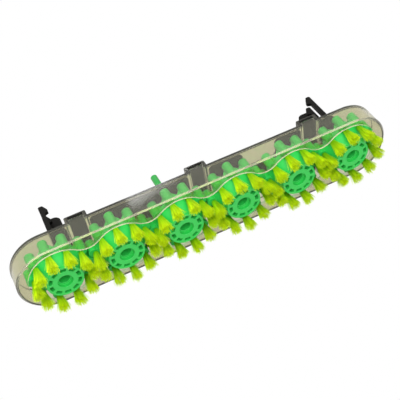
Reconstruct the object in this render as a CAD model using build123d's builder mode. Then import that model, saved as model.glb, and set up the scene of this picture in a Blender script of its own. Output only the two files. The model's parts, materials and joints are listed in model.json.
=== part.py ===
from build123d import *
import os
from math import atan2, cos, degrees, hypot, radians, sin

os.makedirs("parts", exist_ok=True)

# Millimetres. The bristle tips stand on z = 0, the machine is above, the row of brushes runs
# along X and the front wall looks towards -Y. The origin lies midway between the two middle brushes.

# Row of brushes
brush_count = 6
brush_pitch = 48.0
driven_brush = 3

# Gear of one brush: round posts on the rim of a disc instead of cut teeth
lobe_count = 10
lobe_radius = 3.65
lobe_rise = 1.8
lobe_height = 12.0
root_clearance = 0.8
first_lobe_angle = 4.7

# Bristle tufts
tuft_length = 16.5
tuft_root_radius = 1.85
tuft_tip_radius = 3.85
tuft_root_inset = 1.35
tuft_sides = 8
tuft_seat_depth = 6.0
tuft_seat_clearance = 0.05

# Hub of one brush
hub_face_height = 6.8
hub_radius = 13.9
hub_band = 2.5
cone_height = 14.0
disc_rim = 1.0
shoulder_radius = 8.0
recess_radius = 5.9
recess_depth = 3.0
core_radius = 4.3
core_depth = 14.0
slot_inner_radius = 9.6
slot_outer_radius = 12.4
slot_angle = 25.0
slot_depth = 7.0

# Stems, bearings and clips
stem_radius = 2.75
running_clearance = 0.05
washer_radius = 6.0
washer_bore_clearance = 0.1
washer_gap = 0.1
boss_radius = 6.0
boss_height = 4.0
clip_thickness = 0.8
clip_groove_depth = 0.65
clip_groove_clearance = 0.05
clip_gap = 0.2
clip_radius = 4.8
clip_mouth = 3.2
stem_end = 1.6
stem_chamfer = 0.8
drive_shaft_rise = 40.2
drive_shaft_chamfer = 1.1

# Clear guard shell
gear_clearance = 0.6
shell_wall = 2.0
end_room = 5.6
lip_gap = 1.2
lip_thickness = 2.0
lip_cover = 2.1
lip_end_shift = 1.6
lip_corner = 1.4

# Clear cover plate
head_room = 1.66
cover_thickness = 2.5
cover_overhang = 0.2
cover_edge = 0.3
stake_width = 3.0
stake_clearance = 0.1

# Raised channels across the cover, and the black bars in them
channel_width = 11.5
channel_wall = 2.6
channel_roof = 1.0
channel_rise = 5.14
channel_edge = 0.8
bar_thickness = 2.3
bar_edge = 0.4
tab_clearance = 0.15

# Black plates under the cover
plate_thickness = 1.1
plate_gap = 0.3
plate_corner = 2.0
notch_start = 12.8
notch_width = 28.0
neck_width = 24.0
washer_clearance = 0.6

# Latches
latch_base_start = 9.0
latch_base_width = 12.6
latch_height = 35.3
arm_width = 2.8
arm_depth = 3.5
arm_inner_place = 8.2
arm_outer_place = 19.2
hook_reach = 2.6
hook_height = 8.6
hook_lead = 5.4
hook_top_round = 1.2
lug_width = 10.0
lug_plate = 2.4
lug_corner = 5.0
lug_leg = 7.6
lug_gap = 0.3
slot_clearance = 0.2

# Heights that follow
gear_bottom = tuft_length
gear_top = gear_bottom + lobe_height
cone_top = hub_face_height + cone_height
disc_top = cone_top + disc_rim
lip_top = gear_bottom - lip_gap
lip_bottom = lip_top - lip_thickness
cover_bottom = gear_top + head_room
cover_top = cover_bottom + cover_thickness
channel_top = cover_top + channel_rise
channel_ceiling = channel_top - channel_roof
bar_bottom = channel_ceiling - bar_thickness
boss_top = cover_top + boss_height
clip_bottom = boss_top + clip_gap
clip_top = clip_bottom + clip_thickness
stem_top = clip_top + stem_end
shaft_top = cover_top + drive_shaft_rise
latch_top = cover_top + latch_height
plate_bottom = cover_bottom - plate_thickness
latch_centre_height = (cover_top + latch_top) / 2

# Widths and radii that follow
half_pitch = brush_pitch / 2
gear_tip_radius = half_pitch + lobe_rise
gear_root_radius = half_pitch - lobe_rise - root_clearance
lobe_circle_radius = gear_tip_radius - lobe_radius
tuft_circle = lobe_circle_radius - tuft_root_inset
tuft_growth = (tuft_tip_radius - tuft_root_radius) * cos(radians(180 / tuft_sides))
tuft_flare = degrees(atan2(tuft_growth, tuft_length))
inner_half_width = gear_tip_radius + gear_clearance
outer_half_width = inner_half_width + shell_wall
cover_half_width = outer_half_width + cover_overhang
lip_radius = gear_tip_radius - lip_cover
nose_reach = hypot(half_pitch, outer_half_width)
nose_radius = nose_reach - lip_radius
nose_angle = degrees(atan2(outer_half_width, half_pitch))
channel_half = channel_width / 2 + channel_wall
stake_hole = stake_width + 2 * stake_clearance

# Places along the row
first_brush = -brush_pitch * (brush_count - 1) / 2
last_brush = -first_brush
brush_places = [first_brush + brush_pitch * step for step in range(brush_count)]
gap_places = [place + half_pitch for place in brush_places[:-1]]
channel_places = [gap_places[0], gap_places[len(gap_places) // 2], gap_places[-1]]
end_centre = last_brush + end_room
lobe_step = 360 / lobe_count


def phase(number):
    """First lobe angle: neighbours mesh, because lobes of one face the gaps of the next."""
    return first_lobe_angle if number % 2 else lobe_step / 2 - first_lobe_angle


def brush_plane(number, height):
    """A level plane on a brush's axis, turned with its first lobe."""
    turn = radians(phase(number))
    return Plane(
        origin=(brush_places[number - 1], 0, height),
        x_dir=(cos(turn), sin(turn), 0),
        z_dir=(0, 0, 1),
    )


def wedge(reach, angle):
    """Corner points of a thin triangle about the X axis, for cutting a ring into sectors."""
    return [
        (0, 0),
        (reach * cos(radians(angle / 2)), -reach * sin(radians(angle / 2))),
        (reach * cos(radians(angle / 2)), reach * sin(radians(angle / 2))),
    ]


# Guard shell: a clear tray wall with an inward lip whose edge follows the brushes
with BuildPart() as guard_shell:
    with BuildSketch(Plane.XY.offset(lip_bottom)):
        SlotCenterToCenter(2 * end_centre, 2 * outer_half_width)
    extrude(amount=cover_bottom - lip_bottom)
    chamfer(guard_shell.edges().group_by(Axis.Z)[0], lip_corner)
    with BuildSketch(Plane.XY.offset(lip_top)):
        SlotCenterToCenter(2 * end_centre, 2 * inner_half_width)
    extrude(amount=cover_bottom - lip_top, mode=Mode.SUBTRACT)
    with BuildSketch(Plane.XY.offset(lip_bottom)):
        with BuildLine():
            for side in (1, -1):
                for place in brush_places:
                    start = 90 if place == last_brush else nose_angle
                    stop = 90 if place == first_brush else 180 - nose_angle
                    CenterArc((place, 0), lip_radius, side * start, side * (stop - start))
                for place in gap_places:
                    CenterArc(
                        (place, side * outer_half_width),
                        nose_radius,
                        side * (180 + nose_angle),
                        side * (180 - 2 * nose_angle),
                    )
                Line((last_brush, side * lip_radius), (last_brush + lip_end_shift, side * lip_radius))
                Line((first_brush, side * lip_radius), (first_brush - lip_end_shift, side * lip_radius))
            CenterArc((last_brush + lip_end_shift, 0), lip_radius, -90, 180)
            CenterArc((first_brush - lip_end_shift, 0), lip_radius, 90, 180)
        make_face()
    extrude(amount=lip_thickness, mode=Mode.SUBTRACT)
    # Tabs that close the mouths of the channels under the bars
    with BuildSketch(Plane.XY.offset(cover_bottom)):
        for place in channel_places:
            for side in (1, -1):
                with Locations((place, side * (outer_half_width - shell_wall / 2))):
                    Rectangle(channel_width - 2 * tab_clearance, shell_wall)
    extrude(amount=bar_bottom - cover_bottom)
guard_shell.part.label = "guard_shell"
export_step(guard_shell.part, "parts/guard_shell.step")


# Black bars across the row, one in each channel, trapped between the roof and the tabs
for place, side_name in zip(channel_places, ("left", "middle", "right")):
    with BuildPart() as crossbar:
        with BuildSketch(Plane((place, 0, bar_bottom))):
            Rectangle(channel_width, 2 * cover_half_width)
        extrude(amount=bar_thickness)
        chamfer(crossbar.edges().filter_by(Axis.X).group_by(Axis.Z)[0], bar_edge)
    crossbar.part.label = f"crossbar_{side_name}"
    export_step(crossbar.part, f"parts/crossbar_{side_name}.step")


# Outline of the two black plates that line the cover between the channels
plate_length = gap_places[len(gap_places) // 2] - channel_places[0] - 2 * (channel_half + plate_gap)
plate_width = 2 * (inner_half_width - plate_gap)
plate_centre = (channel_places[1] + channel_places[2]) / 2
plate_brushes = [place for place in brush_places if abs(place - plate_centre) < plate_length / 2]
notch_centre = plate_brushes[0] + notch_start + notch_width / 2
stake_places = [
    (plate_centre + across * (plate_length / 2 - 1.5 * stake_width), along * (neck_width / 2 - stake_width))
    for across in (-1, 1)
    for along in (-1, 1)
]

# Latch places, measured from the outer channel
latch_inner = channel_places[2] + latch_base_start
latch_outer = latch_inner + latch_base_width
latch_centre = (latch_inner + latch_outer) / 2
arm_places = [-arm_outer_place, -arm_inner_place, arm_inner_place, arm_outer_place]
arm_inner = latch_outer - arm_depth
lug_places = [-(lug_width - lug_plate) / 2, (lug_width - lug_plate) / 2]
latch_stake = (latch_inner + stake_width, (arm_inner_place + arm_outer_place) / 2)


# Cover plate: the clear top with its channels, stem bosses, latch slots and stakes
with BuildPart() as cover_plate:
    with BuildSketch(Plane.XY.offset(cover_bottom)):
        SlotCenterToCenter(2 * end_centre, 2 * cover_half_width)
    extrude(amount=cover_thickness)
    chamfer(cover_plate.edges().group_by(Axis.Z)[-1], cover_edge)
    for place in channel_places:
        with BuildSketch(Plane((place, 0, cover_bottom))):
            Rectangle(2 * channel_half, 2 * cover_half_width)
        extrude(amount=channel_top - cover_bottom)
    chamfer(cover_plate.edges().filter_by(Axis.Y).group_by(Axis.Z)[-1], channel_edge)
    with BuildSketch(Plane.XY.offset(cover_top)):
        with Locations(*[(place, 0) for place in brush_places]):
            Circle(boss_radius)
    extrude(amount=boss_height)
    for place in channel_places:
        with BuildSketch(Plane((place, 0, cover_bottom))):
            Rectangle(channel_width, 2 * cover_half_width)
        extrude(amount=channel_ceiling - cover_bottom, mode=Mode.SUBTRACT)
    with BuildSketch(Plane.XY.offset(cover_bottom)):
        with Locations(*[(place, 0) for place in brush_places]):
            Circle(stem_radius + running_clearance)
        for side in (1, -1):
            for place in arm_places:
                with Locations((side * (latch_outer - arm_depth / 2), place)):
                    Rectangle(arm_depth + 2 * slot_clearance, arm_width + 2 * slot_clearance)
            for place in lug_places:
                with Locations((side * (latch_inner + lug_leg / 2), place)):
                    Rectangle(lug_leg + 2 * slot_clearance, lug_plate + 2 * slot_clearance)
    extrude(amount=boss_top - cover_bottom, mode=Mode.SUBTRACT)
    with BuildSketch(Plane.XY.offset(plate_bottom)):
        for side in (1, -1):
            with Locations(*[(side * x, y) for x, y in stake_places]):
                Rectangle(stake_width, stake_width)
            for end in (1, -1):
                with Locations((side * latch_stake[0], end * latch_stake[1])):
                    Rectangle(stake_width, stake_width)
    extrude(amount=plate_thickness)
cover_plate.part.label = "cover_plate"
export_step(cover_plate.part, "parts/cover_plate.step")


# Bearing plates: black liners under the cover that keep the gears off it
for side, side_name in ((-1, "left"), (1, "right")):
    with BuildPart() as bearing_plate:
        with BuildSketch(Plane((side * plate_centre, 0, plate_bottom))) as plate_outline:
            Rectangle(plate_length, plate_width)
            if side > 0:
                for end in (1, -1):
                    with Locations((notch_centre - plate_centre, end * (plate_width + neck_width) / 4)):
                        Rectangle(notch_width, (plate_width - neck_width) / 2, mode=Mode.SUBTRACT)
            chamfer(plate_outline.vertices(), plate_corner)
            with Locations(*[(side * (place - plate_centre), 0) for place in plate_brushes]):
                Circle(washer_radius + washer_clearance, mode=Mode.SUBTRACT)
            with Locations(*[(side * (x - plate_centre), y) for x, y in stake_places]):
                Rectangle(stake_hole, stake_hole, mode=Mode.SUBTRACT)
        extrude(amount=plate_thickness)
    bearing_plate.part.label = f"bearing_plate_{side_name}"
    export_step(bearing_plate.part, f"parts/bearing_plate_{side_name}.step")


# Latches: a black base under the cover with four hooked arms and a lug through its slots
for side, side_name in ((-1, "left"), (1, "right")):
    with BuildPart() as latch:
        with BuildSketch(Plane.XY.offset(plate_bottom)) as latch_outline:
            with Locations((side * latch_centre, 0)):
                Rectangle(latch_base_width, plate_width)
            chamfer(latch_outline.vertices(), plate_corner)
            with Locations((side * last_brush, 0)):
                Circle(washer_radius + washer_clearance, mode=Mode.SUBTRACT)
            for end in (1, -1):
                with Locations((side * latch_stake[0], end * latch_stake[1])):
                    Rectangle(stake_hole, stake_hole, mode=Mode.SUBTRACT)
        extrude(amount=plate_thickness)
        hook_tip = arm_inner - hook_reach
        for place in arm_places:
            with BuildSketch(Plane.XZ.offset(-place)) as arm_profile:
                with BuildLine():
                    Polyline(
                        (side * latch_outer, plate_bottom),
                        (side * latch_outer, latch_top),
                        (side * arm_inner, latch_top),
                        (side * hook_tip, latch_top - hook_lead),
                        (side * hook_tip, latch_top - hook_height + hook_top_round),
                        (side * arm_inner, latch_top - hook_height),
                        (side * arm_inner, plate_bottom),
                        close=True,
                    )
                make_face()
                fillet(arm_profile.vertices().group_by(Axis.Y)[-1], hook_top_round)
            extrude(amount=arm_width / 2, both=True)
        # The lug is a channel, open towards the middle of the row, with rounded inner corners
        for place in lug_places:
            with BuildSketch(Plane.XZ.offset(-place)) as lug_profile:
                with Locations((side * latch_centre, (cover_top + lug_gap + latch_top) / 2)):
                    Rectangle(latch_base_width, latch_top - cover_top - lug_gap)
                lug_top = lug_profile.vertices().group_by(Axis.Y)[-1].sort_by(Axis.X)
                fillet(lug_top[0 if side > 0 else -1], lug_corner)
                with Locations((side * (latch_inner + lug_leg / 2), (plate_bottom + latch_centre_height) / 2)):
                    Rectangle(lug_leg, latch_centre_height - plate_bottom)
            extrude(amount=lug_plate / 2, both=True)
        with BuildSketch(Plane.XY.offset(cover_top + lug_gap)):
            with Locations((side * (latch_outer - lug_plate / 2), 0)):
                Rectangle(lug_plate, lug_width)
        extrude(amount=latch_top - cover_top - lug_gap)
        # Room for the boss, the clip and the turning stem of the end brush
        with BuildSketch(Plane((side * last_brush, 0, plate_bottom))):
            Circle(boss_radius + washer_clearance)
        extrude(amount=stem_top + clip_gap - plate_bottom, mode=Mode.SUBTRACT)
    latch.part.label = f"latch_{side_name}"
    export_step(latch.part, f"parts/latch_{side_name}.step")


# Thrust washers: one between each gear and the cover, kept as one group
with BuildPart() as thrust_washers:
    with BuildSketch(Plane.XY.offset(gear_top + washer_gap)):
        with Locations(*[(place, 0) for place in brush_places]):
            Circle(washer_radius)
            Circle(stem_radius + washer_bore_clearance, mode=Mode.SUBTRACT)
    extrude(amount=head_room - washer_gap)
thrust_washers.part.label = "thrust_washers"
export_step(thrust_washers.part, "parts/thrust_washers.step")


# Sector shape of the slots that are cut round a brush's hub
with BuildSketch() as hub_slot:
    Circle(slot_outer_radius)
    Circle(slot_inner_radius, mode=Mode.SUBTRACT)
    Polygon(*wedge(2 * slot_outer_radius, slot_angle), align=None, mode=Mode.INTERSECT)


# Brushes: one green moulding each, with slotted hub, cone, ring of posts and stem
for number in range(1, brush_count + 1):
    driven = number == driven_brush
    top = shaft_top if driven else stem_top
    end_chamfer = drive_shaft_chamfer if driven else stem_chamfer
    axis = brush_plane(number, 0)
    upright = Plane(origin=axis.origin, x_dir=axis.x_dir, z_dir=-axis.y_dir)
    with BuildPart() as brush:
        with BuildSketch(upright):
            with BuildLine():
                Polyline(
                    (0, hub_face_height),
                    (hub_radius, hub_face_height),
                    (hub_radius, hub_face_height + hub_band),
                    (gear_root_radius, cone_top),
                    (gear_root_radius, disc_top),
                    (shoulder_radius, disc_top),
                    (shoulder_radius, gear_top),
                    (stem_radius, gear_top),
                    (stem_radius, clip_bottom),
                    (stem_radius - clip_groove_depth, clip_bottom),
                    (stem_radius - clip_groove_depth, clip_top + clip_groove_clearance),
                    (stem_radius, clip_top + clip_groove_clearance),
                    (stem_radius, top - end_chamfer),
                    (stem_radius - end_chamfer, top),
                    (0, top),
                    close=True,
                )
            make_face()
        revolve(axis=Axis((brush_places[number - 1], 0, 0), (0, 0, 1)))
        with BuildSketch(brush_plane(number, gear_bottom)):
            with PolarLocations(lobe_circle_radius, lobe_count):
                Circle(lobe_radius)
        extrude(amount=lobe_height)
        with BuildSketch(brush_plane(number, gear_bottom)):
            with PolarLocations(tuft_circle, lobe_count):
                RegularPolygon(tuft_root_radius + tuft_seat_clearance, side_count=tuft_sides)
        extrude(amount=tuft_seat_depth, mode=Mode.SUBTRACT)
        with BuildSketch(brush_plane(number, hub_face_height)):
            Circle(recess_radius)
        extrude(amount=recess_depth, mode=Mode.SUBTRACT)
        with BuildSketch(brush_plane(number, hub_face_height)):
            Circle(core_radius)
        extrude(amount=core_depth, mode=Mode.SUBTRACT)
        with BuildSketch(brush_plane(number, hub_face_height)):
            with PolarLocations(0, lobe_count, start_angle=lobe_step / 2):
                add(hub_slot.sketch)
        extrude(amount=slot_depth, mode=Mode.SUBTRACT)
    brush.part.label = f"brush_{number}"
    export_step(brush.part, f"parts/brush_{number}.step")


# Tufts: ten flared bundles for each brush, set in the blind holes of its lobes
for number in range(1, brush_count + 1):
    with BuildPart() as tufts:
        with BuildSketch(brush_plane(number, 0)):
            with PolarLocations(tuft_circle, lobe_count):
                RegularPolygon(tuft_tip_radius, side_count=tuft_sides)
        extrude(amount=tuft_length, taper=tuft_flare)
        with BuildSketch(brush_plane(number, gear_bottom)):
            with PolarLocations(tuft_circle, lobe_count):
                RegularPolygon(tuft_root_radius, side_count=tuft_sides)
        extrude(amount=tuft_seat_depth)
    tufts.part.label = f"tufts_{number}"
    export_step(tufts.part, f"parts/tufts_{number}.step")


# Spring clips in the stem grooves, which hold the brushes up in the cover
for number in range(1, brush_count + 1):
    with BuildPart() as stem_clip:
        with BuildSketch(brush_plane(number, clip_bottom)):
            Circle(clip_radius)
            Circle(stem_radius - clip_groove_depth + clip_groove_clearance, mode=Mode.SUBTRACT)
            with Locations((clip_radius / 2, 0)):
                Rectangle(clip_radius, clip_mouth, mode=Mode.SUBTRACT)
        extrude(amount=clip_thickness)
    stem_clip.part.label = f"stem_clip_{number}"
    export_step(stem_clip.part, f"parts/stem_clip_{number}.step")
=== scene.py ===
import json
import math
import random

import bpy
from mathutils import Euler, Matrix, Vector


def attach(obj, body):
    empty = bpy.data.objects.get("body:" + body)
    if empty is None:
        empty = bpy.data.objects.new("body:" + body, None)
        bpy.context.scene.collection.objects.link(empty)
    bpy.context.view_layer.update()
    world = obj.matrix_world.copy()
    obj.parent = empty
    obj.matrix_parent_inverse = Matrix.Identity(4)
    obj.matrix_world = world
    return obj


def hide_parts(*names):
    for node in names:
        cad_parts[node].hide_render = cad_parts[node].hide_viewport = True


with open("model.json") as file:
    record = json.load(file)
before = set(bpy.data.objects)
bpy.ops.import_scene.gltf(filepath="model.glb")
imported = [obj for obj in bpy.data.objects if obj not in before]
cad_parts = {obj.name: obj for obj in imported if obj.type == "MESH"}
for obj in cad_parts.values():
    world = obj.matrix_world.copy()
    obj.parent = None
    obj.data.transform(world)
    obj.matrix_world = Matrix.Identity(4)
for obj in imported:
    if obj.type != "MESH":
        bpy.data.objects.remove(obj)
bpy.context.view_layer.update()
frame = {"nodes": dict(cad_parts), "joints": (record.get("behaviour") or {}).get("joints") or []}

bl_info = {
    "name": "Carpet cleaner brush block",
    "version": (1, 0, 0),
    "blender": (4, 5, 0),
    "location": "View3D > Sidebar > Brush Block",
    "description": "Dresses a geared brush block with clear plastic, green mouldings and bristles",
    "category": "Object",
}

MM = 0.001
BRUSH_COUNT = 6
SPIN_JOINTS = {joint["child"]: joint for joint in frame["joints"]}

# The second tone of a moulding and the painted highlight along its edges, as shares of its colour
CLEAR_SECOND = 0.94
STEEL_SECOND = 0.8
EDGE_HIGHLIGHT_LIFT = 1.3
BLACK_SPECULAR = 0.12

# Painted shade on the drive shaft: its green darkens from one height to another
SHAFT_SHADE_START = 38.0 * MM
SHAFT_SHADE_END = 44.0 * MM
SHAFT_SHADE = 0.5

# The clear plastic: how it refracts, and how much light its shadows keep
CLEAR_IOR = 1.49
CLEAR_SHADOW = (0.94, 0.94, 0.91, 1.0)
# The cover's sides are faces whose normals point up or down by less than SIDE_LEVEL
SIDE_LEVEL = 0.5
# How strongly the cover's upright sides get painted shade, and the shade's share of the clear tint
SIDE_SHADE_STRENGTH = 0.8
SIDE_SHADE_TINT = 0.35
# How far the normals of the shell's bevelled corner and of its upright faces point down or up
CORNER_SLANT = 0.6
CORNER_SPREAD = 0.35
UPRIGHT_SPREAD = 0.2
# Radius and strength of the painted highlight along the shell's sharp edges
SHELL_EDGE_RADIUS = 0.12 * MM
SHELL_EDGE_HIGHLIGHT = 4.0
# The scalloped rim lies nearer than RIM_REACH to the line between the shell's two end centres
SHELL_END_CENTRE = 125.6 * MM
RIM_REACH = 25.2 * MM
# How strongly the scalloped rim gets the painted highlight
RIM_HIGHLIGHT = 0.5

# How one tuft's bristles are spread: the shares of the ragged length that they fall short by, and
# the shares of the tip radius that stray and tidy ones reach
FIRST_SEED = 100
TUFT_LEAN = 0.4 * MM
CLUMPS = 12
CLUMP_SPREAD = 0.45 * MM
ROOT_SINK = 0.5 * MM
CLUMP_SHORT = 0.3
STRAND_SHORT = 0.3
OUTER_SHORT = 0.4
STRAY_REACH = (1.0, 1.35)
TIDY_REACH = (0.8, 1.08)
STRAND_WAVE = 0.25 * MM
STRAND_SHARES = (0.0, 0.3, 0.65, 1.0)
STRAND_FLARE = 1.25
STRAND_SIDES = 3
STRAND_POINT = 0.75

CAMERA_PLACE = (-0.12474, -0.40634, -0.36461)
CAMERA_TURN = (138.427, 24.6945, 8.5403)
CAMERA_LENS = 67.83
FLOOR_SIZE = 6.0
FLOOR_COLOUR = (0.86, 0.86, 0.85, 1.0)
GLOW_COLOUR = (1.0, 0.98, 0.92, 1.0)
GLOW_STRENGTH = 0.78
LAMP_TARGET = (0.0, 0.0, 0.02)
# Name, place, width and height, power, and whether it shows in reflections
LAMPS = (
    ("front_low", (-0.1, -0.84, -0.48), (0.8, 0.8), 8.5, False),
    ("front_high", (-0.3, -0.85, 0.35), (0.6, 0.6), 5.0, False),
    ("top", (-0.2, 0.15, 0.9), (0.8, 0.8), 2.2, True),
    ("back", (0.35, 0.7, 0.35), (0.6, 0.6), 2.0, False),
    # A thin strip that the long wall mirrors as the pale streak along its upper half
    ("streak", (0.215, -0.6, 0.7), (0.34, 0.06), 0.33, True),
)


# Settings that a user would change


class BrushBlockSizes(bpy.types.PropertyGroup):
    """Sizes of the pieces that are grown on the frame"""

    strands: bpy.props.IntProperty(
        name="Strands per tuft",
        description="How many bristles stand in one tuft",
        default=240,
        min=8,
        max=400,
    )
    strand_radius: bpy.props.FloatProperty(
        name="Strand radius",
        description="Radius of one bristle",
        default=0.14 * MM,
        unit="LENGTH",
    )
    tufts: bpy.props.IntProperty(
        name="Tufts per brush",
        description="Tufts round one brush",
        default=10,
    )
    first_angle: bpy.props.FloatProperty(
        name="First tuft",
        description="Angle of the first tuft on the odd brushes",
        default=math.radians(4.7),
        subtype="ANGLE",
    )
    root_circle: bpy.props.FloatProperty(
        name="Root circle",
        description="Radius of the circle on which the tufts are set",
        default=20.8 * MM,
        unit="LENGTH",
    )
    root_radius: bpy.props.FloatProperty(
        name="Root radius",
        description="Radius of one tuft where it leaves its post",
        default=1.72 * MM,
        unit="LENGTH",
    )
    root_height: bpy.props.FloatProperty(
        name="Root height",
        description="Height of the posts' underside above the tips",
        default=16.5 * MM,
        unit="LENGTH",
    )
    tip_circle: bpy.props.FloatProperty(
        name="Tip circle",
        description="Radius of the circle on which the tufts' tips stand",
        default=21.3 * MM,
        unit="LENGTH",
    )
    tip_radius: bpy.props.FloatProperty(
        name="Tip radius",
        description="Radius of one tuft at its tips",
        default=4.7 * MM,
        unit="LENGTH",
    )
    stray: bpy.props.FloatProperty(
        name="Stray share",
        description="Share of the bristles that splay wider than their tuft",
        default=0.25,
        min=0.0,
        max=1.0,
        subtype="FACTOR",
    )
    web_circle: bpy.props.FloatProperty(
        name="Web circle",
        description="Radius of the circle on which the webs beside the posts stand",
        default=20.0 * MM,
        unit="LENGTH",
    )
    web_foot: bpy.props.FloatProperty(
        name="Web foot",
        description="How far a web spreads to each side of its post at the disc",
        default=6.1 * MM,
        unit="LENGTH",
    )
    web_crest: bpy.props.FloatProperty(
        name="Web crest",
        description="Half the width of a web at its top, inside the post",
        default=1.6 * MM,
        unit="LENGTH",
    )
    web_bottom: bpy.props.FloatProperty(
        name="Web bottom",
        description="Height of the web's foot, just inside the disc",
        default=21.6 * MM,
        unit="LENGTH",
    )
    web_top: bpy.props.FloatProperty(
        name="Web top",
        description="Height of the web's crest, just under the post's top",
        default=28.3 * MM,
        unit="LENGTH",
    )
    web_thickness: bpy.props.FloatProperty(
        name="Web thickness",
        description="Thickness of one web",
        default=2.4 * MM,
        unit="LENGTH",
    )
    ragged: bpy.props.FloatProperty(
        name="Ragged tips",
        description="How much shorter the shortest bristles are",
        default=1.5 * MM,
        unit="LENGTH",
    )


class BrushBlockColours(bpy.types.PropertyGroup):
    """Colours of the mouldings and the bristles"""

    green: bpy.props.FloatVectorProperty(
        name="Green moulding",
        description="Colour of the brush mouldings",
        default=(0.03, 0.58, 0.09),
        subtype="COLOR",
    )
    lime: bpy.props.FloatVectorProperty(
        name="Bristle tips",
        description="Colour of the bristles near their tips",
        default=(0.74, 0.93, 0.008),
        subtype="COLOR",
    )
    leaf: bpy.props.FloatVectorProperty(
        name="Bristle roots",
        description="Colour of the bristles near their posts",
        default=(0.17, 0.6, 0.006),
        subtype="COLOR",
    )
    haze: bpy.props.FloatProperty(
        name="Haze",
        description="How milky the clear plastic is",
        default=0.022,
        min=0.0,
        max=1.0,
        subtype="FACTOR",
    )
    clear: bpy.props.FloatVectorProperty(
        name="Clear moulding",
        description="Tint of the clear plastic",
        default=(0.79, 0.775, 0.615),
        subtype="COLOR",
    )
    # The pale diffuse's colour: the milky haze, and the painted highlight on the shell's edges and
    # rim
    edge: bpy.props.FloatVectorProperty(
        name="Clear edges",
        description="Pale tint that the clear plastic's edges show",
        default=(0.95, 0.95, 0.80),
        subtype="COLOR",
    )
    black: bpy.props.FloatVectorProperty(
        name="Black moulding",
        description="Colour of the latches, bars and liners",
        default=(0.004, 0.0038, 0.0035),
        subtype="COLOR",
    )
    nylon: bpy.props.FloatVectorProperty(
        name="Washers",
        description="Colour of the thrust washers",
        default=(0.72, 0.70, 0.62),
        subtype="COLOR",
    )
    steel: bpy.props.FloatVectorProperty(
        name="Clips",
        description="Colour of the stem clips",
        default=(0.56, 0.55, 0.53),
        subtype="COLOR",
    )


# Shader node groups that several materials share


def new_group(name, inputs, outputs):
    """An empty shader group with named sockets, and its input and output nodes."""
    group = bpy.data.node_groups.new(name, "ShaderNodeTree")
    for label, kind, value in inputs:
        socket = group.interface.new_socket(label, in_out="INPUT", socket_type=kind)
        socket.default_value = value
    for label, kind in outputs:
        group.interface.new_socket(label, in_out="OUTPUT", socket_type=kind)
    return group, group.nodes.new("NodeGroupInput"), group.nodes.new("NodeGroupOutput")


def math_node(nodes, operation, **constants):
    """A math node with constants on its numbered inputs, such as second=0.5."""
    node = nodes.new("ShaderNodeMath")
    node.operation = operation
    for place, value in constants.items():
        node.inputs[("first", "second", "third").index(place)].default_value = value
    return node


def vector_node(nodes, operation):
    """A vector math node."""
    node = nodes.new("ShaderNodeVectorMath")
    node.operation = operation
    return node


def colour_mix(nodes):
    """A node that mixes two colours."""
    node = nodes.new("ShaderNodeMix")
    node.data_type = "RGBA"
    return node


def grain_group():
    """Moulded grain: fine bumps and soft handling marks, as roughness and height."""
    name = "Moulded grain"
    if name in bpy.data.node_groups:
        return bpy.data.node_groups[name]
    group, given, out = new_group(
        name,
        [
            ("Grain Scale", "NodeSocketFloat", 900.0),
            ("Smudge Scale", "NodeSocketFloat", 40.0),
            ("Smooth", "NodeSocketFloat", 0.25),
            ("Rough", "NodeSocketFloat", 0.45),
        ],
        [("Roughness", "NodeSocketFloat"), ("Height", "NodeSocketFloat")],
    )
    nodes, links = group.nodes, group.links
    place = nodes.new("ShaderNodeTexCoord")
    fine = nodes.new("ShaderNodeTexNoise")
    fine.inputs["Detail"].default_value = 3.0
    smudge = nodes.new("ShaderNodeTexNoise")
    smudge.inputs["Detail"].default_value = 4.0
    spread = nodes.new("ShaderNodeMapRange")
    links.new(place.outputs["Object"], fine.inputs["Vector"])
    links.new(place.outputs["Object"], smudge.inputs["Vector"])
    links.new(given.outputs["Grain Scale"], fine.inputs["Scale"])
    links.new(given.outputs["Smudge Scale"], smudge.inputs["Scale"])
    links.new(smudge.outputs["Fac"], spread.inputs["Value"])
    links.new(given.outputs["Smooth"], spread.inputs["To Min"])
    links.new(given.outputs["Rough"], spread.inputs["To Max"])
    links.new(spread.outputs["Result"], out.inputs["Roughness"])
    links.new(fine.outputs["Fac"], out.inputs["Height"])
    return group


def tone_group():
    """Uneven tone: a colour that drifts slowly between itself and a second one."""
    name = "Uneven tone"
    if name in bpy.data.node_groups:
        return bpy.data.node_groups[name]
    group, given, out = new_group(
        name,
        [
            ("Colour", "NodeSocketColor", (0.5, 0.5, 0.5, 1.0)),
            ("Second Colour", "NodeSocketColor", (0.4, 0.4, 0.4, 1.0)),
            ("Scale", "NodeSocketFloat", 60.0),
            ("Amount", "NodeSocketFloat", 0.5),
        ],
        [("Colour", "NodeSocketColor")],
    )
    nodes, links = group.nodes, group.links
    place = nodes.new("ShaderNodeTexCoord")
    drift = nodes.new("ShaderNodeTexNoise")
    drift.inputs["Detail"].default_value = 3.0
    share = math_node(nodes, "MULTIPLY")
    blend = colour_mix(nodes)
    links.new(place.outputs["Object"], drift.inputs["Vector"])
    links.new(given.outputs["Scale"], drift.inputs["Scale"])
    links.new(drift.outputs["Fac"], share.inputs[0])
    links.new(given.outputs["Amount"], share.inputs[1])
    links.new(share.outputs["Value"], blend.inputs["Factor"])
    links.new(given.outputs["Colour"], blend.inputs["A"])
    links.new(given.outputs["Second Colour"], blend.inputs["B"])
    links.new(blend.outputs["Result"], out.inputs["Colour"])
    return group


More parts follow.
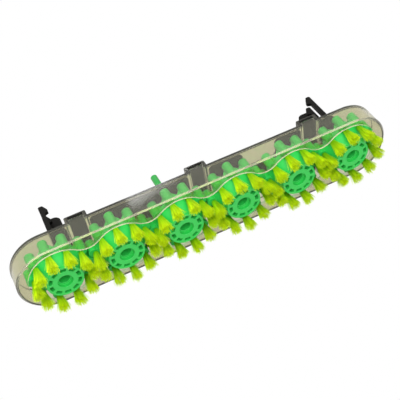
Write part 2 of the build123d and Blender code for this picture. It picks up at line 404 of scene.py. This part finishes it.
def edge_group():
    """Soft edges: a rounded normal and a mask that is bright along sharp edges."""
    name = "Soft edges"
    if name in bpy.data.node_groups:
        return bpy.data.node_groups[name]
    group, given, out = new_group(
        name,
        [("Radius", "NodeSocketFloat", 0.0003), ("Sharpness", "NodeSocketFloat", 4.0)],
        [("Normal", "NodeSocketVector"), ("Edge", "NodeSocketFloat")],
    )
    nodes, links = group.nodes, group.links
    rounded = nodes.new("ShaderNodeBevel")
    rounded.samples = 4
    flat = nodes.new("ShaderNodeNewGeometry")
    agree = vector_node(nodes, "DOT_PRODUCT")
    differ = math_node(nodes, "SUBTRACT", first=1.0)
    mask = math_node(nodes, "MULTIPLY")
    mask.use_clamp = True
    links.new(given.outputs["Radius"], rounded.inputs["Radius"])
    links.new(rounded.outputs["Normal"], agree.inputs[0])
    links.new(flat.outputs["Normal"], agree.inputs[1])
    links.new(agree.outputs["Value"], differ.inputs[1])
    links.new(differ.outputs["Value"], mask.inputs[0])
    links.new(given.outputs["Sharpness"], mask.inputs[1])
    links.new(rounded.outputs["Normal"], out.inputs["Normal"])
    links.new(mask.outputs["Value"], out.inputs["Edge"])
    return group


# Materials


def place_group(material, group, **values):
    """A group node in a material, with its own values on the named sockets."""
    node = material.node_tree.nodes.new("ShaderNodeGroup")
    node.node_tree = group
    for label, value in values.items():
        node.inputs[label.replace("_", " ")].default_value = value
    return node


def rgba(colour):
    """A colour with full opacity."""
    return (*colour, 1.0)


def new_material(name):
    """A node material with its nodes, links and Principled shader."""
    material = bpy.data.materials.new(name)
    material.use_nodes = True
    nodes = material.node_tree.nodes
    return material, nodes, material.node_tree.links, nodes["Principled BSDF"]


def moulded_material(
    name, colour, second, roughness, grain_scale, bump, edge_radius, edge_lift, highlight_pale
):
    """Solid moulded plastic with grain, uneven tone and a painted highlight along its edges. second
    is the share of the colour that its darker or lighter patches have."""
    material, nodes, links, shader = new_material(name)
    tone = place_group(
        material,
        tone_group(),
        Colour=rgba(colour),
        Second_Colour=rgba([channel * second for channel in colour]),
        Scale=55.0,
        Amount=0.7,
    )
    smooth, rough = roughness
    grain = place_group(
        material, grain_group(), Grain_Scale=grain_scale, Smooth=smooth, Rough=rough
    )
    edge = place_group(material, edge_group(), Radius=edge_radius, Sharpness=edge_lift)
    # Painted highlight: along sharp edges the colour is mixed towards a lighter one
    edge_highlight = colour_mix(nodes)
    edge_highlight_colour = [min(1.0, channel * EDGE_HIGHLIGHT_LIFT + highlight_pale) for channel in colour]
    edge_highlight.inputs["B"].default_value = rgba(edge_highlight_colour)
    relief = nodes.new("ShaderNodeBump")
    relief.inputs["Strength"].default_value = bump
    relief.inputs["Distance"].default_value = 0.05 * MM
    links.new(edge.outputs["Edge"], edge_highlight.inputs["Factor"])
    links.new(tone.outputs["Colour"], edge_highlight.inputs["A"])
    links.new(edge_highlight.outputs["Result"], shader.inputs["Base Color"])
    links.new(grain.outputs["Roughness"], shader.inputs["Roughness"])
    links.new(grain.outputs["Height"], relief.inputs["Height"])
    links.new(edge.outputs["Normal"], relief.inputs["Normal"])
    links.new(relief.outputs["Normal"], shader.inputs["Normal"])
    return material


def paint_shaft_shade(material):
    """Paints shade on the green above the cover, so that the drive shaft looks darker than the
    brushes.
    """
    nodes, links = material.node_tree.nodes, material.node_tree.links
    shader = nodes["Principled BSDF"]
    place = nodes.new("ShaderNodeTexCoord")
    split = nodes.new("ShaderNodeSeparateXYZ")
    shade_share = nodes.new("ShaderNodeMapRange")
    shade_share.inputs["From Min"].default_value = SHAFT_SHADE_START
    shade_share.inputs["From Max"].default_value = SHAFT_SHADE_END
    shade_share.inputs["To Min"].default_value = 1.0
    shade_share.inputs["To Max"].default_value = SHAFT_SHADE
    scale = vector_node(nodes, "SCALE")
    links.new(place.outputs["Object"], split.inputs["Vector"])
    links.new(split.outputs["Z"], shade_share.inputs["Value"])
    links.new(shader.inputs["Base Color"].links[0].from_socket, scale.inputs[0])
    links.new(shade_share.outputs["Result"], scale.inputs["Scale"])
    links.new(scale.outputs["Vector"], shader.inputs["Base Color"])


def clear_material(name, colours):
    """Clear tinted plastic with fine grain and a little milkiness."""
    material, nodes, links, shader = new_material(name)
    shader.inputs["Transmission Weight"].default_value = 1.0
    shader.inputs["IOR"].default_value = CLEAR_IOR
    shader.inputs["Metallic"].default_value = 0.0
    tone = place_group(
        material,
        tone_group(),
        Colour=rgba(colours.clear),
        Second_Colour=rgba([channel * CLEAR_SECOND for channel in colours.clear]),
        Scale=35.0,
        Amount=0.6,
    )
    grain = place_group(
        material, grain_group(), Grain_Scale=500.0, Smudge_Scale=30.0, Smooth=0.03, Rough=0.1
    )
    relief = nodes.new("ShaderNodeBump")
    relief.name = "Relief"
    relief.inputs["Strength"].default_value = 0.06
    relief.inputs["Distance"].default_value = 0.02 * MM
    # A pale diffuse: a little of it everywhere is the milky haze; on the shell it is also the
    # painted highlight along the edges and the rim
    pale = nodes.new("ShaderNodeBsdfDiffuse")
    pale.inputs["Color"].default_value = rgba(colours.edge)
    haze_and_highlight_mix = nodes.new("ShaderNodeMixShader")
    haze_and_highlight_mix.name = "Frosted"
    haze_and_highlight_mix.inputs["Fac"].default_value = colours.haze
    links.new(tone.outputs["Colour"], shader.inputs["Base Color"])
    links.new(grain.outputs["Roughness"], shader.inputs["Roughness"])
    links.new(grain.outputs["Height"], relief.inputs["Height"])
    links.new(relief.outputs["Normal"], shader.inputs["Normal"])
    links.new(shader.outputs["BSDF"], haze_and_highlight_mix.inputs[1])
    links.new(pale.outputs["BSDF"], haze_and_highlight_mix.inputs[2])
    # Light passes straight through for shadows, so the brushes inside stay lit
    rays = nodes.new("ShaderNodeLightPath")
    thin = nodes.new("ShaderNodeBsdfTransparent")
    thin.inputs["Color"].default_value = CLEAR_SHADOW
    choose = nodes.new("ShaderNodeMixShader")
    links.new(rays.outputs["Is Shadow Ray"], choose.inputs["Fac"])
    links.new(haze_and_highlight_mix.outputs["Shader"], choose.inputs[1])
    links.new(thin.outputs["BSDF"], choose.inputs[2])
    links.new(choose.outputs["Shader"], nodes["Material Output"].inputs["Surface"])
    return material


def paint_side_shade(material, colour):
    """Paints shade on the upright sides of the cover, where the eye looks along its plastic."""
    nodes, links = material.node_tree.nodes, material.node_tree.links
    shader = nodes["Principled BSDF"]
    facing = nodes.new("ShaderNodeNewGeometry")
    split = nodes.new("ShaderNodeSeparateXYZ")
    steep = math_node(nodes, "ABSOLUTE")
    upright = nodes.new("ShaderNodeMapRange")
    upright.inputs["From Max"].default_value = SIDE_LEVEL
    upright.inputs["To Min"].default_value = SIDE_SHADE_STRENGTH
    upright.inputs["To Max"].default_value = 0.0
    side_shade = colour_mix(nodes)
    side_shade.inputs["B"].default_value = rgba([channel * SIDE_SHADE_TINT for channel in colour])
    links.new(facing.outputs["Normal"], split.inputs["Vector"])
    links.new(split.outputs["Z"], steep.inputs[0])
    links.new(steep.outputs["Value"], upright.inputs["Value"])
    links.new(upright.outputs["Result"], side_shade.inputs["Factor"])
    links.new(shader.inputs["Base Color"].links[0].from_socket, side_shade.inputs["A"])
    links.new(side_shade.outputs["Result"], shader.inputs["Base Color"])


def paint_shell_highlights(material, haze):
    """Paints a pale highlight on the shell's sharp edges and its scalloped rim, and clears its
    bevelled corner.
    """
    nodes, links = material.node_tree.nodes, material.node_tree.links
    facing = nodes.new("ShaderNodeNewGeometry")
    normal = nodes.new("ShaderNodeSeparateXYZ")
    steep = math_node(nodes, "ABSOLUTE")
    links.new(facing.outputs["Normal"], normal.inputs["Vector"])
    links.new(normal.outputs["Z"], steep.inputs[0])
    # The bevelled corner bends the light no more than the wall beside it
    slant = math_node(nodes, "COMPARE", second=CORNER_SLANT, third=CORNER_SPREAD)
    kept = math_node(nodes, "SUBTRACT", first=1.0)
    rise = math_node(nodes, "MULTIPLY")
    level = nodes.new("ShaderNodeCombineXYZ")
    unit = vector_node(nodes, "NORMALIZE")
    links.new(steep.outputs["Value"], slant.inputs[0])
    links.new(slant.outputs["Value"], kept.inputs[1])
    links.new(normal.outputs["Z"], rise.inputs[0])
    links.new(kept.outputs["Value"], rise.inputs[1])
    links.new(normal.outputs["X"], level.inputs["X"])
    links.new(normal.outputs["Y"], level.inputs["Y"])
    links.new(rise.outputs["Value"], level.inputs["Z"])
    links.new(level.outputs["Vector"], unit.inputs[0])
    links.new(unit.outputs["Vector"], nodes["Relief"].inputs["Normal"])
    # Painted highlight: the sharp edges are mixed towards the pale diffuse
    rounded = nodes.new("ShaderNodeBevel")
    rounded.samples = 4
    rounded.inputs["Radius"].default_value = SHELL_EDGE_RADIUS
    agree = vector_node(nodes, "DOT_PRODUCT")
    differ = math_node(nodes, "SUBTRACT", first=1.0)
    sharp = math_node(nodes, "MULTIPLY", second=SHELL_EDGE_HIGHLIGHT)
    sharp.use_clamp = True
    links.new(rounded.outputs["Normal"], agree.inputs[0])
    links.new(facing.outputs["Normal"], agree.inputs[1])
    links.new(agree.outputs["Value"], differ.inputs[1])
    links.new(differ.outputs["Value"], sharp.inputs[0])
    # The scalloped rim gets the painted highlight too: the upright faces that stand well inside the
    # wall
    place = nodes.new("ShaderNodeTexCoord")
    spot = nodes.new("ShaderNodeSeparateXYZ")
    along = math_node(nodes, "ABSOLUTE")
    past_end = math_node(nodes, "SUBTRACT", second=SHELL_END_CENTRE)
    past_end.use_clamp = True
    across = nodes.new("ShaderNodeCombineXYZ")
    distance = vector_node(nodes, "LENGTH")
    within = math_node(nodes, "LESS_THAN", second=RIM_REACH)
    upright = math_node(nodes, "COMPARE", second=0.0, third=UPRIGHT_SPREAD)
    both = math_node(nodes, "MULTIPLY")
    rim = math_node(nodes, "MULTIPLY", second=RIM_HIGHLIGHT)
    links.new(place.outputs["Object"], spot.inputs["Vector"])
    links.new(spot.outputs["X"], along.inputs[0])
    links.new(along.outputs["Value"], past_end.inputs[0])
    links.new(past_end.outputs["Value"], across.inputs["X"])
    links.new(spot.outputs["Y"], across.inputs["Y"])
    links.new(across.outputs["Vector"], distance.inputs[0])
    links.new(distance.outputs["Value"], within.inputs[0])
    links.new(normal.outputs["Z"], upright.inputs[0])
    links.new(within.outputs["Value"], both.inputs[0])
    links.new(upright.outputs["Value"], both.inputs[1])
    links.new(both.outputs["Value"], rim.inputs[0])
    # The painted highlight, or the milky haze where that is stronger, sets how much pale diffuse is
    # mixed in
    pale = math_node(nodes, "MAXIMUM")
    milky = math_node(nodes, "MAXIMUM", second=haze)
    links.new(sharp.outputs["Value"], pale.inputs[0])
    links.new(rim.outputs["Value"], pale.inputs[1])
    links.new(pale.outputs["Value"], milky.inputs[0])
    links.new(milky.outputs["Value"], nodes["Frosted"].inputs["Fac"])


def bristle_material(colours, sizes):
    """Nylon bristles: leaf green at the roots, lime at the tips, each strand a little different."""
    material, nodes, links, shader = new_material("Nylon bristles")
    shader.inputs["Roughness"].default_value = 0.38
    place = nodes.new("ShaderNodeTexCoord")
    split = nodes.new("ShaderNodeSeparateXYZ")
    rise = nodes.new("ShaderNodeMapRange")
    rise.inputs["From Min"].default_value = 0.0
    rise.inputs["From Max"].default_value = sizes.root_height
    fade = colour_mix(nodes)
    fade.inputs["A"].default_value = rgba(colours.lime)
    fade.inputs["B"].default_value = rgba(colours.leaf)
    geometry = nodes.new("ShaderNodeNewGeometry")
    vary = nodes.new("ShaderNodeMapRange")
    vary.inputs["To Min"].default_value = 0.72
    vary.inputs["To Max"].default_value = 1.15
    scale = vector_node(nodes, "SCALE")
    links.new(place.outputs["Object"], split.inputs["Vector"])
    links.new(split.outputs["Z"], rise.inputs["Value"])
    links.new(rise.outputs["Result"], fade.inputs["Factor"])
    links.new(geometry.outputs["Random Per Island"], vary.inputs["Value"])
    links.new(fade.outputs["Result"], scale.inputs[0])
    links.new(vary.outputs["Result"], scale.inputs["Scale"])
    links.new(scale.outputs["Vector"], shader.inputs["Base Color"])
    return material


def steel_material(colours):
    """Stamped spring steel with fine brushing."""
    material, nodes, links, shader = new_material("Spring steel")
    shader.inputs["Metallic"].default_value = 1.0
    tone = place_group(
        material,
        tone_group(),
        Colour=rgba(colours.steel),
        Second_Colour=rgba([channel * STEEL_SECOND for channel in colours.steel]),
        Scale=300.0,
        Amount=0.6,
    )
    grain = place_group(material, grain_group(), Grain_Scale=1500.0, Smooth=0.22, Rough=0.4)
    links.new(tone.outputs["Colour"], shader.inputs["Base Color"])
    links.new(grain.outputs["Roughness"], shader.inputs["Roughness"])
    return material


def dress(names, material):
    """Gives carried-over nodes their material."""
    for name in names:
        data = frame["nodes"][name].data
        data.materials.clear()
        data.materials.append(material)


# Bristles


def brush_axis(number):
    """Axis of one brush, read from its joint."""
    x, y, _ = SPIN_JOINTS[f"brush_unit_{number}"]["pos_m"]
    return Vector((x, y, 0.0))


def tuft_angles(number, sizes):
    """Angles of a brush's tufts: neighbours are half a step apart so that they mesh."""
    step = 2 * math.pi / sizes.tufts
    first = sizes.first_angle if number % 2 else step / 2 - sizes.first_angle
    return [first + step * turn for turn in range(sizes.tufts)]


def disc_point(rng, radius):
    """A random point in a disc."""
    reach = radius * math.sqrt(rng.random())
    turn = rng.uniform(0.0, 2 * math.pi)
    return Vector((reach * math.cos(turn), reach * math.sin(turn), 0.0))


def strand_line(rng, root, tip):
    """Points down one bristle: straight out of its post, then flaring and slightly wavy."""
    wave = disc_point(rng, STRAND_WAVE)
    points = []
    for share in STRAND_SHARES:
        flare = share**STRAND_FLARE
        point = root.lerp(tip, flare)
        point.z = root.z + (tip.z - root.z) * share
        points.append(point + wave * math.sin(math.pi * share))
    return points


def add_strand(verts, faces, points, radius):
    """A slim prism along its points, closed at both ends and finer at the tip."""
    first = len(verts)
    turn = 2 * math.pi / STRAND_SIDES
    for index, point in enumerate(points):
        size = radius * (1.0 if index < len(points) - 1 else STRAND_POINT)
        for side in range(STRAND_SIDES):
            x = point.x + size * math.cos(turn * side)
            verts.append((x, point.y + size * math.sin(turn * side), point.z))
    for ring in range(len(points) - 1):
        start = first + STRAND_SIDES * ring
        for side in range(STRAND_SIDES):
            here, follow = start + side, start + (side + 1) % STRAND_SIDES
            faces.append((here, here + STRAND_SIDES, follow + STRAND_SIDES, follow))
    last = first + STRAND_SIDES * (len(points) - 1)
    faces.append((last, *range(last + STRAND_SIDES - 1, last, -1)))
    faces.append(tuple(range(first, first + STRAND_SIDES)))


def add_piece(name, verts, faces, material, number):
    """A new piece that rides on one brush, with the slot of the material it stands for."""
    mesh = bpy.data.meshes.new(name)
    mesh.from_pydata(verts, [], faces)
    mesh.update()
    mesh.materials.append(material)
    piece = bpy.data.objects.new(name, mesh)
    bpy.context.scene.collection.objects.link(piece)
    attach(piece, f"brush_unit_{number}")
    return piece


def brush_bristles(number, sizes, material):
    """All the bristles of one brush as one mesh that stands for its tufts."""
    rng = random.Random(FIRST_SEED + number)
    axis = brush_axis(number)
    verts, faces = [], []
    for angle in tuft_angles(number, sizes):
        outward = Vector((math.cos(angle), math.sin(angle), 0.0))
        lean = disc_point(rng, TUFT_LEAN)
        root_centre = axis + outward * sizes.root_circle
        root_centre.z = sizes.root_height + ROOT_SINK
        tip_centre = axis + outward * sizes.tip_circle + lean
        clumps = [disc_point(rng, CLUMP_SPREAD) for _ in range(CLUMPS)]
        shortfalls = [rng.uniform(0.0, CLUMP_SHORT) for _ in clumps]
        for strand in range(sizes.strands):
            spot = disc_point(rng, 1.0)
            clump = strand % CLUMPS
            short = shortfalls[clump] + STRAND_SHORT * rng.random() ** 2
            short += OUTER_SHORT * spot.length_squared
            strays = rng.random() < sizes.stray
            reach = sizes.tip_radius * rng.uniform(*(STRAY_REACH if strays else TIDY_REACH))
            root = root_centre + spot * sizes.root_radius
            tip = tip_centre + spot * reach + clumps[clump]
            tip.z = sizes.ragged * short
            add_strand(verts, faces, strand_line(rng, root, tip), sizes.strand_radius)
    piece = add_piece(f"bristles_{number}", verts, faces, material, number)
    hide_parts(f"tufts_{number}")


def brush_webs(number, sizes, material):
    """The sloping webs beside one brush's posts, which make each post broader at its foot."""
    axis = brush_axis(number)
    profile = (
        (-sizes.web_foot, sizes.web_bottom),
        (sizes.web_foot, sizes.web_bottom),
        (sizes.web_crest, sizes.web_top),
        (-sizes.web_crest, sizes.web_top),
    )
    verts, faces = [], []
    for angle in tuft_angles(number, sizes):
        outward = Vector((math.cos(angle), math.sin(angle), 0.0))
        along = Vector((-outward.y, outward.x, 0.0))
        first = len(verts)
        for side in (-0.5, 0.5):
            face_centre = axis + outward * (sizes.web_circle + side * sizes.web_thickness)
            for reach, height in profile:
                verts.append(face_centre + along * reach + Vector((0.0, 0.0, height)))
        faces.append((first + 3, first + 2, first + 1, first))
        faces.append((first + 4, first + 5, first + 6, first + 7))
        for start in range(4):
            end = (start + 1) % 4
            faces.append((first + start, first + end, first + 4 + end, first + 4 + start))
    add_piece(f"post_webs_{number}", verts, faces, material, number)


# Stage


def pale_floor():
    """A pale floor that shows from above only, because the photograph looks up from under it."""
    half = FLOOR_SIZE / 2
    mesh = bpy.data.meshes.new("floor")
    corners = [(-half, -half, 0.0), (half, -half, 0.0), (half, half, 0.0), (-half, half, 0.0)]
    mesh.from_pydata(corners, [], [(0, 1, 2, 3)])
    material, nodes, links, shader = new_material("Pale floor")
    shader.inputs["Base Color"].default_value = FLOOR_COLOUR
    shader.inputs["Roughness"].default_value = 0.85
    facing = nodes.new("ShaderNodeNewGeometry")
    gone = nodes.new("ShaderNodeBsdfTransparent")
    choose = nodes.new("ShaderNodeMixShader")
    links.new(facing.outputs["Backfacing"], choose.inputs["Fac"])
    links.new(shader.outputs["BSDF"], choose.inputs[1])
    links.new(gone.outputs["BSDF"], choose.inputs[2])
    links.new(choose.outputs["Shader"], nodes["Material Output"].inputs["Surface"])
    mesh.materials.append(material)
    floor = bpy.data.objects.new("floor", mesh)
    bpy.context.scene.collection.objects.link(floor)
    # The lamps below shine through the floor, since the photograph is taken from under it
    floor.visible_diffuse = False
    floor.visible_glossy = False
    floor.visible_shadow = False


def soft_lamp(name, place, size, power, shines):
    """An area lamp of a width and height that looks at the part, with or without a reflection."""
    data = bpy.data.lights.new(name, "AREA")
    data.shape = "RECTANGLE"
    data.size, data.size_y = size
    data.energy = power
    lamp = bpy.data.objects.new(name, data)
    lamp.location = place
    aim = Vector(LAMP_TARGET) - Vector(place)
    lamp.rotation_euler = aim.to_track_quat("-Z", "Y").to_euler()
    lamp.visible_camera = False
    lamp.visible_transmission = False
    lamp.visible_glossy = shines
    bpy.context.scene.collection.objects.link(lamp)


def studio_world():
    """White surroundings for the eye, and a softer light on the object."""
    world = bpy.data.worlds.new("Studio")
    bpy.context.scene.world = world
    world.use_nodes = True
    nodes, links = world.node_tree.nodes, world.node_tree.links
    backdrop = nodes["Background"]
    backdrop.inputs["Color"].default_value = (1.0, 1.0, 1.0, 1.0)
    backdrop.inputs["Strength"].default_value = 1.0
    glow = nodes.new("ShaderNodeBackground")
    glow.inputs["Color"].default_value = GLOW_COLOUR
    glow.inputs["Strength"].default_value = GLOW_STRENGTH
    rays = nodes.new("ShaderNodeLightPath")
    choose = nodes.new("ShaderNodeMixShader")
    links.new(rays.outputs["Is Camera Ray"], choose.inputs["Fac"])
    links.new(glow.outputs["Background"], choose.inputs[1])
    links.new(backdrop.outputs["Background"], choose.inputs[2])
    links.new(choose.outputs["Shader"], nodes["World Output"].inputs["Surface"])


# Operators


class BRUSHBLOCK_OT_stage(bpy.types.Operator):
    """Makes the camera, the soft lamps, the white surroundings and the pale floor"""

    bl_idname = "brushblock.stage"
    bl_label = "Stage"

    def execute(self, context):
        data = bpy.data.cameras.new("camera")
        data.lens = CAMERA_LENS
        data.clip_start = 0.01
        camera = bpy.data.objects.new("camera", data)
        camera.location = CAMERA_PLACE
        camera.rotation_euler = Euler([math.radians(turn) for turn in CAMERA_TURN], "XYZ")
        context.scene.collection.objects.link(camera)
        context.scene.camera = camera
        context.scene.view_settings.view_transform = "Standard"
        pale_floor()
        studio_world()
        for lamp in LAMPS:
            soft_lamp(*lamp)
        return {"FINISHED"}


class BRUSHBLOCK_OT_housing(bpy.types.Operator):
    """Gives the clear shell and cover their plastic"""

    bl_idname = "brushblock.housing"
    bl_label = "Clear housing"

    def execute(self, context):
        colours = context.scene.brush_block_colours
        shell = clear_material("Clear shell plastic", colours)
        paint_shell_highlights(shell, colours.haze)
        dress(["guard_shell"], shell)
        cover = clear_material("Clear cover plastic", colours)
        paint_side_shade(cover, colours.clear)
        dress(["cover_plate"], cover)
        return {"FINISHED"}


class BRUSHBLOCK_OT_brushes(bpy.types.Operator):
    """Gives the six brush mouldings their green plastic and adds the webs beside their posts"""

    bl_idname = "brushblock.brushes"
    bl_label = "Brush mouldings"

    def execute(self, context):
        sizes = context.scene.brush_block_sizes
        material = moulded_material(
            "Green moulding",
            context.scene.brush_block_colours.green,
            second=0.86,
            roughness=(0.3, 0.46),
            grain_scale=700.0,
            bump=0.12,
            edge_radius=0.35 * MM,
            edge_lift=4.0,
            highlight_pale=0.12,
        )
        paint_shaft_shade(material)
        dress([f"brush_{number}" for number in range(1, BRUSH_COUNT + 1)], material)
        for number in range(1, BRUSH_COUNT + 1):
            brush_webs(number, sizes, material)
        return {"FINISHED"}


class BRUSHBLOCK_OT_black_parts(bpy.types.Operator):
    """Gives the latches, bars and liners their black plastic"""

    bl_idname = "brushblock.black_parts"
    bl_label = "Black parts"

    def execute(self, context):
        material = moulded_material(
            "Black moulding",
            context.scene.brush_block_colours.black,
            second=1.6,
            roughness=(0.42, 0.6),
            grain_scale=1100.0,
            bump=0.1,
            edge_radius=0.25 * MM,
            edge_lift=0.8,
            highlight_pale=0.005,
        )
        shader = material.node_tree.nodes["Principled BSDF"]
        shader.inputs["Specular IOR Level"].default_value = BLACK_SPECULAR
        names = ["latch_left", "latch_right", "bearing_plate_left", "bearing_plate_right"]
        dress(names + ["crossbar_left", "crossbar_middle", "crossbar_right"], material)
        return {"FINISHED"}


class BRUSHBLOCK_OT_hardware(bpy.types.Operator):
    """Gives the stem clips their steel and the thrust washers their nylon"""

    bl_idname = "brushblock.hardware"
    bl_label = "Clips and washers"

    def execute(self, context):
        colours = context.scene.brush_block_colours
        steel = steel_material(colours)
        dress([f"stem_clip_{number}" for number in range(1, BRUSH_COUNT + 1)], steel)
        nylon = moulded_material(
            "Natural nylon",
            colours.nylon,
            second=0.92,
            roughness=(0.35, 0.5),
            grain_scale=800.0,
            bump=0.1,
            edge_radius=0.2 * MM,
            edge_lift=0.6,
            highlight_pale=0.02,
        )
        dress(["thrust_washers"], nylon)
        return {"FINISHED"}


class BRUSHBLOCK_OT_bristles(bpy.types.Operator):
    """Grows the bristles of all six brushes in place of their plain tufts"""

    bl_idname = "brushblock.bristles"
    bl_label = "Bristles"

    def execute(self, context):
        sizes = context.scene.brush_block_sizes
        material = bristle_material(context.scene.brush_block_colours, sizes)
        for number in range(1, BRUSH_COUNT + 1):
            brush_bristles(number, sizes, material)
        return {"FINISHED"}


class BRUSHBLOCK_PT_panel(bpy.types.Panel):
    """Lists the steps that dress the brush block"""

    bl_idname = "BRUSHBLOCK_PT_panel"
    bl_label = "Brush Block"
    bl_space_type = "VIEW_3D"
    bl_region_type = "UI"
    bl_category = "Brush Block"

    def draw(self, context):
        for operator in STEPS:
            self.layout.operator(operator.bl_idname)
        for settings in (context.scene.brush_block_sizes, context.scene.brush_block_colours):
            for name in settings.__annotations__:
                self.layout.prop(settings, name)


STEPS = (
    BRUSHBLOCK_OT_stage,
    BRUSHBLOCK_OT_housing,
    BRUSHBLOCK_OT_brushes,
    BRUSHBLOCK_OT_black_parts,
    BRUSHBLOCK_OT_hardware,
    BRUSHBLOCK_OT_bristles,
)
CLASSES = (BrushBlockSizes, BrushBlockColours, *STEPS, BRUSHBLOCK_PT_panel)


def register():
    for entry in CLASSES:
        bpy.utils.register_class(entry)
    bpy.types.Scene.brush_block_sizes = bpy.props.PointerProperty(type=BrushBlockSizes)
    bpy.types.Scene.brush_block_colours = bpy.props.PointerProperty(type=BrushBlockColours)


def unregister():
    del bpy.types.Scene.brush_block_colours
    del bpy.types.Scene.brush_block_sizes
    for entry in reversed(CLASSES):
        bpy.utils.unregister_class(entry)


def main():
    register()
    bpy.ops.brushblock.stage()
    bpy.ops.brushblock.housing()
    bpy.ops.brushblock.brushes()
    bpy.ops.brushblock.black_parts()
    bpy.ops.brushblock.hardware()
    bpy.ops.brushblock.bristles()


if __name__ == "__main__":
    main()
